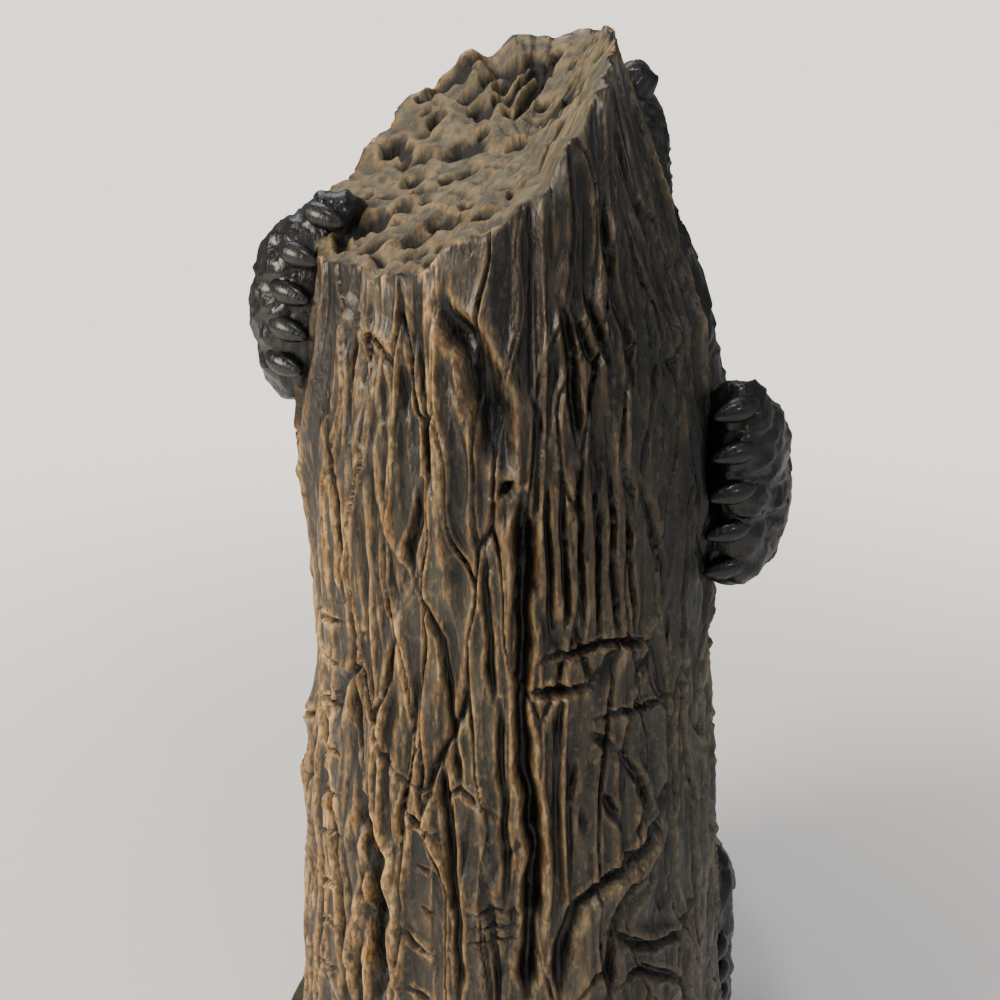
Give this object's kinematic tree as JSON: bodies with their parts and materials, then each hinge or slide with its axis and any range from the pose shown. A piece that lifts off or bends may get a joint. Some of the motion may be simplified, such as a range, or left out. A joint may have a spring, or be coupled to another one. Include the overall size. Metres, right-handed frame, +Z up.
{
  "type": "bear on tree trunk figurine",
  "caption": "Standing ornament: a black bear hugs a broken tree trunk with furrowed bark, its paws reaching round both sides, on a low mound of ground.",
  "frame": {"origin": "centre of the base's underside", "axes": "+Z up; the bear's back faces -Y, and the trunk's bare bark faces +Y"},
  "size_m": [0.12, 0.1417, 0.242],
  "materials": {
    "painted_resin": "cast resin, hand painted and lacquered: tan bark under a dark brown wash with black furrows, khaki broken wood, and a gloss blue-black bear"
  },
  "bodies": {
    "root": {"bear_on_trunk": "painted_resin"}
  },
  "joints": []
}
